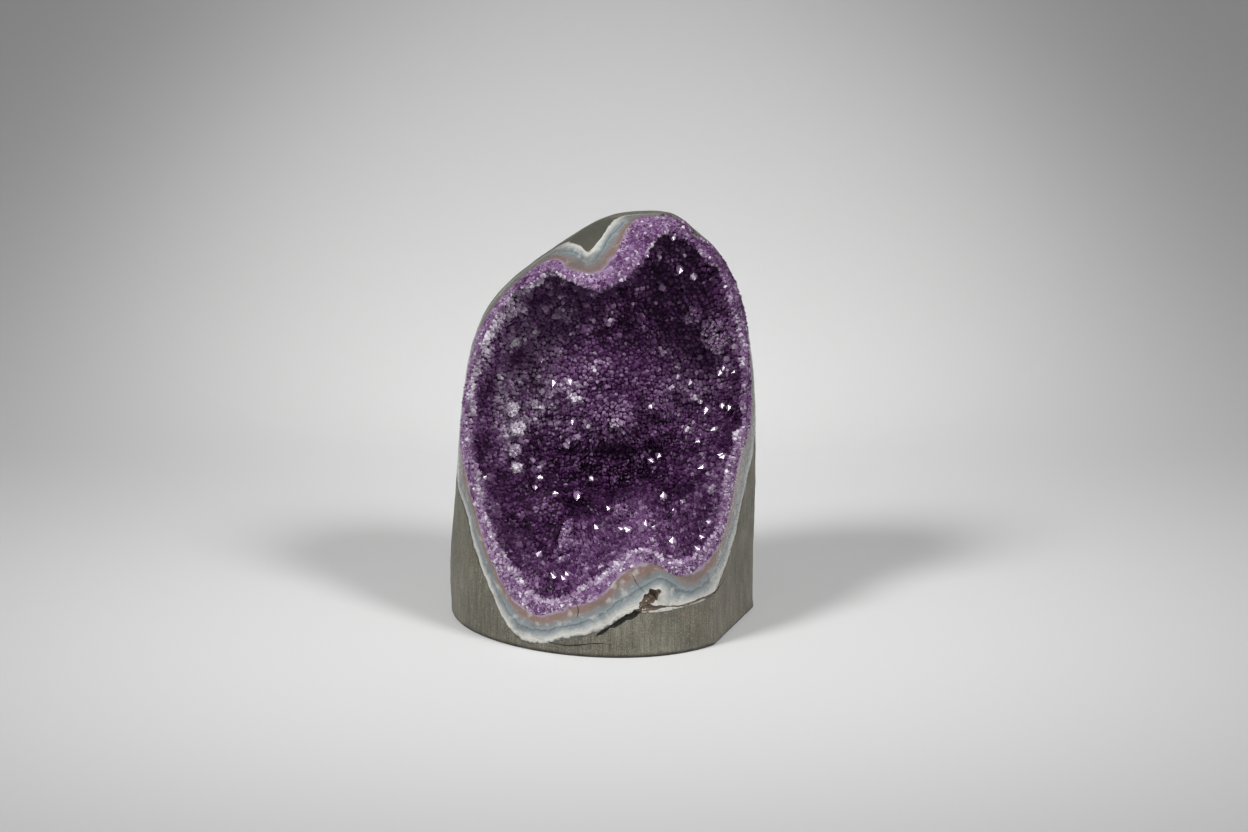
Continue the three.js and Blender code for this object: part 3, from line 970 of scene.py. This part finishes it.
def calm_rim(points):
    return 0.3 + 0.7 * eased(points[:, 1], -30, 0)


# %% [markdown]
# ## Growing the bed
# Feet outside the ground skin are dropped. A few hundred buds swell the bed into small
# pale heads, and a few points are turned to flash, more of them towards the right.

# %% Growing the bed
rng = np.random.default_rng(7)
seeds = sow(rng)
ground = bowl(BED, seeds[:, 0], seeds[:, 1])
facing = bowl_facing(BED, seeds[:, 0], seeds[:, 1])
foot = ground + facing * lumps(BED, ground)[:, None]
depth = skin_depth(foot)
kept = depth > 0.15
seeds, ground, facing, foot, depth = (a[kept] for a in (seeds, ground, facing, foot, depth))
slope_facing = bed_slope(ground, facing)
count = len(foot)
print(count, "crystals in the bed")

axis = unit(slope_facing + rng.normal(size=(count, 3)) * 0.30)
size_draw = rng.random(count)
radius = 0.92 + 0.32 * size_draw + 0.55 * np.maximum(size_draw - 0.93, 0) / 0.07
stub = radius * rng.uniform(-0.1, 0.6, count)
side = rng.normal(size=(count, 3))

BUDS = 260
bud_foot = foot[rng.choice(count, BUDS, replace=False)]
bud_reach = rng.uniform(1.3, 2.7, BUDS)
bud_pale = 0.06 + 0.40 * rng.random(BUDS) ** 1.5
near_bud = np.exp(-((np.linalg.norm(foot[:, None] - bud_foot, axis=-1) / bud_reach) ** 2))
swelling = np.minimum((near_bud * bud_reach * 0.5).sum(1), 2) * calm_rim(foot)
foot = foot + slope_facing * swelling[:, None]

FLASHES = 58
chance = np.exp(foot[:, 0] / 45) * (depth > 2)
flash = rng.choice(count, FLASHES, replace=False, p=chance / chance.sum())
halfway = halfway_to(foot[flash], LAMPS[rng.integers(0, 2, FLASHES)])
axis[flash], side[flash] = leaning(slope_facing[flash], halfway)
radius[flash] = rng.uniform(1.1, 2.0, FLASHES)
stub[flash] = 1.3
points, faces = crystals(foot - slope_facing * 0.25, axis, radius, stub, rng, side)
points[flash] = squared_up(points[flash], foot[flash], halfway)

# %% [markdown]
# ## Colouring the bed
# Each point's paleness adds up from chance, slow drifts, its bud, the pale rim and the
# named spots. The bed is then split into four quarters, so that no piece is too heavy.

# %% Colouring the bed
tint = BED_TONE + 0.10 * rng.normal(size=count) + 0.12 * relief(foot, 22, 53)
tint += 0.12 * relief(ground, 8, 43, 1) + 0.07 * relief(foot, 4, 55) + (near_bud * bud_pale).sum(1)
tint += pale_rim(foot, depth)
for angle, spread, reach, strength in PALE_SPOTS:
    middle = bowl(BED, np.array([around_at(BED, angle)]), np.array([out_at(spread)]))
    tint += strength * np.exp(-((np.linalg.norm(foot - middle, axis=-1) / reach) ** 2))
gloss = 0.02 + 0.35 * rng.random(count) ** 2
gloss[flash] = rng.uniform(0.5, 1, FLASHES)
tint[flash] = rng.uniform(0.5, 0.8, FLASHES)

near_skin = depth < NEAR_SKIN
points[near_skin] = ground_flat(points[near_skin])
quarter = (seeds[:, 0] * 4).astype(int) % 4
quarter[flash] = -1
flashing = crystal_piece("flashing_points", points[flash], faces, tint[flash], gloss[flash])
settle(flashing, clean_amethyst, [], crease=None)
for number in range(4):
    mine = quarter == number
    bed = crystal_piece(f"crystal_bed_{number + 1}", points[mine], faces, tint[mine], gloss[mine])
    settle(bed, amethyst, [], crease=None)

# %% [markdown]
# ## Crystals on the ground rim
# The grinder only just touched the rim of the bed, so small broken points still stand on
# it. High on the right it missed the rim altogether, and there they hide the agate too.
# Feet are drawn from the rim's own triangles, each as often as its area asks.

# %% Rim crystals
RIM_SPACING = 0.95
RIM_TONE = [(0, 0.52), (30, 0.40), (60, 0.36), (82, 0.55), (100, 0.56), (125, 0.50),
            (155, 0.52), (180, 0.52), (210, 0.62), (240, 0.62), (270, 0.66), (300, 0.68),
            (330, 0.56), (360, 0.52)]
WHOLLY_COVERED = (34, 74)


def rim_places(piece, rng):
    """Feet spread over the ground part of a piece, with the way out of the stone at each."""
    corners = points_of(piece)
    on_skin = skin_depth(corners) < 0.06
    piece.data.calc_loop_triangles()
    flat = np.empty(len(piece.data.loop_triangles) * 3, int)
    piece.data.loop_triangles.foreach_get("vertices", flat)
    triangles = flat.reshape(-1, 3)
    triangles = triangles[on_skin[triangles].all(1)]
    a, b, c = (corners[triangles[:, k]] for k in range(3))
    face = np.cross(b - a, c - a)
    size = np.linalg.norm(face, axis=-1) / 2
    drawn = rng.choice(len(size), int(size.sum() / RIM_SPACING**2), p=size / size.sum())
    u, v = rng.random((2, len(drawn), 1))
    over = u + v > 1
    u, v = np.where(over, 1 - u, u), np.where(over, 1 - v, v)
    return a[drawn] + (b - a)[drawn] * u + (c - a)[drawn] * v, unit(face[drawn])


crust_feet, crust_out = rim_places(crystal_crust, rng)
margin = wall_radius(AGATE_INSIDE, crust_feet) - from_axis(crust_feet)
kept = margin > 0.5 + 0.6 * relief(crust_feet, 4, 65)
agate_feet, agate_out = rim_places(agate_rind, rng)
ragged = bearing(agate_feet) + 5 * relief(agate_feet, 5, 66)
missed = (ragged > WHOLLY_COVERED[0]) & (ragged < WHOLLY_COVERED[1]) & (agate_feet[:, 1] < 25)
rim_feet = np.concatenate([crust_feet[kept], agate_feet[missed]])
rim_out = np.concatenate([crust_out[kept], agate_out[missed]])
rim_count = len(rim_feet)
print(rim_count, "crystals on the rim")

rim_axis = unit(rim_out + rng.normal(size=(rim_count, 3)) * 0.38)
rim_radius = rng.uniform(0.5, 0.95, rim_count)
rim_stub = rim_radius * rng.uniform(-0.25, 0.4, rim_count)
rim_lift = 0.35 * relief(rim_feet, 5, 67) - 0.35
rim_points, faces = crystals(rim_feet + rim_out * rim_lift[:, None], rim_axis, rim_radius,
                             rim_stub, rng)
rim_tint = by_bearing(rim_feet, RIM_TONE) + 0.13 * rng.normal(size=rim_count)
rim_tint += 0.18 * relief(rim_feet, 5, 68) + 0.12 * relief(rim_feet, 12, 69)
rim_tint += 0.3 * (rng.random(rim_count) < 0.07)
rim_crystals = crystal_piece("rim_crystals", rim_points, faces, rim_tint,
                             0.05 + 0.4 * rng.random(rim_count) ** 2)
settle(rim_crystals, amethyst, [], crease=None)

# %% [markdown]
# ## Clusters
# Some points grew in knobs that stand out of the bed. Each is a swelling of small points
# round one middle, in the place and size of its CAD solid. A small knob is round and
# orderly; a large one is ragged and fades into the bed, so that it doesn't look moulded.

# %% Knobs and ridges
CLUSTERS = [
    # name, angle, share out, long, wide, high, tint
    ("pale_knob_1", 162, 0.79, 3, 3, 3, 0.66),
    ("pale_knob_2", 177, 0.75, 3.6, 3.6, 3.6, 0.92),
    ("pale_knob_3", 190, 0.73, 3.8, 3.6, 4.2, 1.0),
    ("pale_knob_4", 202, 0.79, 3.2, 3, 3.4, 0.80),
    ("pale_knob_5", 211, 0.81, 2.8, 2.8, 3, 0.95),
    ("teardrop_knob", 51, 0.81, 6, 3.6, 4, 0.52),
    ("lilac_patch_upper", 38, 0.86, 6.5, 8, 3.2, 0.64),
    ("lilac_knob_lower", 280, 0.97, 4.4, 4.4, 4, 0.54),
    ("pale_ridge_left", 252, 0.90, 11, 3, 3, 0.56),
    ("rim_knob_right", 354, 0.985, 3.2, 3, 2.6, 0.84),
    ("rim_knob_lower_right", 327, 0.97, 2.6, 2.6, 2.4, 0.8)]
SINK = 0.35
ROUND_BELOW = 5
ORDERLY = 0.35
TIP_ROOM = 0.7
POINT_AREA = 0.9
SHARE_COVERED = 1.75
GOLDEN_TURN = math.pi * (3 - math.sqrt(5))


def bed_frame(angle, spread):
    """The foot of a place on the bed and three directions: to the rim, across, and out."""
    place = np.array([around_at(BED, angle)])
    out = np.array([out_at(spread)])
    low = bowl(BED, place, out - 0.008)[0]
    here = bowl(BED, place, out)[0]
    facing = bowl_facing(BED, place, out)[0]
    along = unit(here - low)
    return here, along, np.cross(facing, along), facing


def knob(name, angle, spread, long, wide, high, tone, rng):
    """Points along a golden-angle spiral over a dome; large knobs stray further from it."""
    here, along, across, facing = bed_frame(angle, spread)
    lift = lumps(BED, here[None])[0]
    middle = here + facing * (high * (1 - 2 * SINK) + max(lift, 0) * 0.5)
    sizes = np.array([long, wide, high]) - TIP_ROOM
    rough = 1 if max(long, wide) > ROUND_BELOW else ORDERLY
    count = int(4 * math.pi * ((long * wide + wide * high + long * high) / 3) / POINT_AREA)
    level = 1 - (np.arange(count) + 0.5) * SHARE_COVERED / count
    level = np.clip(level + rng.normal(size=count) * 0.11 * rough, -0.999, 0.999)
    turn = np.arange(count) * GOLDEN_TURN + rng.normal(size=count) * rough
    flat = np.sqrt(1 - level**2)
    ball = np.stack([flat * np.cos(turn), flat * np.sin(turn), level], -1)
    basis = np.stack([along, across, facing])
    uneven = 1 + 0.34 * relief(ball * 1.7 + middle, 1, 61)
    foot = middle + (ball * sizes * uneven[:, None]) @ basis
    axis = unit((ball / sizes) @ basis) + 0.45 * rough * facing
    axis = unit(axis + rng.normal(size=(count, 3)) * 0.34 * rough)
    radius = rng.uniform(0.55, 0.95, count)
    points, faces = crystals(foot, axis, radius, radius * rng.uniform(-0.1, 0.35, count), rng)
    near_rim = skin_depth(foot) < NEAR_SKIN
    points[near_rim] = ground_flat(points[near_rim])
    tint = tone + 0.13 * rng.normal(size=count) - 0.34 * np.clip(0.55 - level, 0, 1)
    piece = crystal_piece(name, points, faces, tint, 0.1 + 0.4 * rng.random(count))
    settle(piece, amethyst, [name], crease=None)
    return piece


for name, *numbers in CLUSTERS:
    piece = knob(name, *numbers, rng)
    piece.name = name + "_points"

# %% [markdown]
# ## Large single points
# A dozen points outgrew their neighbours. Each stands in the place of its CAD solid with
# a few smaller friends at its foot, and is turned so that one clean face flashes.

# %% Large points
LARGE_POINTS = [
    # angle, share out, half width, free length
    (65, 0.87, 1.8, 5), (68, 0.79, 1.6, 4.8), (72, 0.63, 1.9, 5.4), (3, 0.77, 1.9, 5.2),
    (343, 0.77, 1.6, 4.8), (331, 0.85, 1.7, 4.8), (309, 0.96, 1.7, 4.6), (304, 0.93, 1.6, 4.6),
    (251, 0.65, 2, 5.4), (194, 0.27, 1.5, 4.4), (140, 0.62, 1.6, 4.6), (225, 0.72, 1.7, 4.8)]
FRIENDS = 3
ROOT_LIFT = 0.7
# The large point first, then its friends: shares of its half width, paleness and gloss.
LARGE_SHARES = np.array([1.0, 0.7, 0.62, 0.55])
LARGE_TINTS = np.array([0.62, 0.4, 0.36, 0.42])
LARGE_GLOSS = np.array([1, 0.6, 0.6, 0.6])

for number, (angle, spread, half, length) in enumerate(LARGE_POINTS, 1):
    here, _, _, facing = bed_frame(angle, spread)
    here = here + facing * (lumps(BED, here[None])[0] + 0.6)
    halfway = halfway_to(here, LAMPS[number % 2])
    axis, side = leaning(facing, halfway)
    feet = np.concatenate([[here], here + rng.normal(size=(FRIENDS, 3)) * half * 0.9])
    axes = np.concatenate([[axis], unit(facing + rng.normal(size=(FRIENDS, 3)) * 0.4)])
    sides = np.concatenate([[side], rng.normal(size=(FRIENDS, 3))])
    radii = half * LARGE_SHARES
    stubs = np.array([length - ROOT_LIFT - half * TIP_SLOPE, 0.5, 0.5, 0.3])
    points, faces = crystals(feet, axes, radii, stubs, rng, sides)
    points[:1] = squared_up(points[:1], feet[:1], halfway[None])
    piece = crystal_piece(f"large_point_{number:02d}", points, faces, LARGE_TINTS, LARGE_GLOSS)
    settle(piece, clean_amethyst, [f"large_crystal_{number:02d}"], crease=None)

# %% [markdown]
# ## Floor, backdrop and light
# The stand-in studio is one pale sheet that curves up behind the stone. Two soft lights
# stand high at the front left and the front right, and a third lights the sheet
# behind the stone so that a soft glow surrounds it.

# %% Studio
SHEET_WIDTH = 7.0
SHEET_FRONT = -2.6
SHEET_BEND = 0.30
SHEET_RADIUS = 0.55
SHEET_TOP = 2.6
LAMP_WATTS = (0.84, 0.67)
LAMP_SIZE, LAMP_SPREAD = 0.55, 30
SKY_STRENGTH = 0.29


def studio_sheet():
    arc = np.linspace(0, math.pi / 2, 24)
    back = SHEET_BEND + SHEET_RADIUS
    y = np.concatenate([[SHEET_FRONT], SHEET_BEND + SHEET_RADIUS * np.sin(arc), [back]])
    z = np.concatenate([[0], SHEET_RADIUS * (1 - np.cos(arc)), [SHEET_TOP]])
    half = SHEET_WIDTH / 2
    points = [(side * half, a, b) for side in (-1, 1) for a, b in zip(y, z)]
    rows = len(y)
    faces = [(k, k + 1, rows + k + 1, rows + k) for k in range(rows - 1)]
    mesh = bpy.data.meshes.new("studio_sheet")
    mesh.from_pydata([tuple(map(float, p)) for p in points], [], faces)
    mesh.shade_smooth()
    sheet = bpy.data.objects.new("studio_sheet", mesh)
    bpy.context.collection.objects.link(sheet)
    finish, _, _ = new_finish("pale paper", Base_Color=(0.72, 0.72, 0.72, 1), Roughness=0.9)
    mesh.materials.append(finish)


def aimed(light, place, aim):
    made = bpy.data.objects.new(light.name, light)
    made.location = place
    made.rotation_euler = (Vector(aim) - Vector(place)).to_track_quat("-Z", "Y").to_euler()
    made.visible_camera = False
    bpy.context.collection.objects.link(made)


def soft_light(name, place, aim, size, watts, spread):
    light = bpy.data.lights.new(name, "AREA")
    light.shape = "DISK"
    light.size = size
    light.energy = watts
    light.spread = math.radians(spread)
    aimed(light, place, aim)


def pool_of_light(name, place, aim, cone, watts):
    light = bpy.data.lights.new(name, "SPOT")
    light.spot_size = math.radians(cone)
    light.spot_blend = 1
    light.shadow_soft_size = 0.12
    light.energy = watts
    aimed(light, place, aim)


studio_sheet()
for side_name, lamp, watts in zip(("key_left", "key_right"), LAMPS, LAMP_WATTS):
    soft_light(side_name, Vector(lamp * MM), (0, 0, 0.08), LAMP_SIZE, watts, LAMP_SPREAD)
pool_of_light("glow", (0, 0.2, 1.7), (0, 0.55, 0.12), 28, 54)

world = bpy.data.worlds.new("studio")
world.use_nodes = True
world.node_tree.nodes["Background"].inputs["Color"].default_value = (1, 1, 1, 1)
world.node_tree.nodes["Background"].inputs["Strength"].default_value = SKY_STRENGTH
bpy.context.scene.world = world
bpy.context.scene.view_settings.view_transform = "Standard"
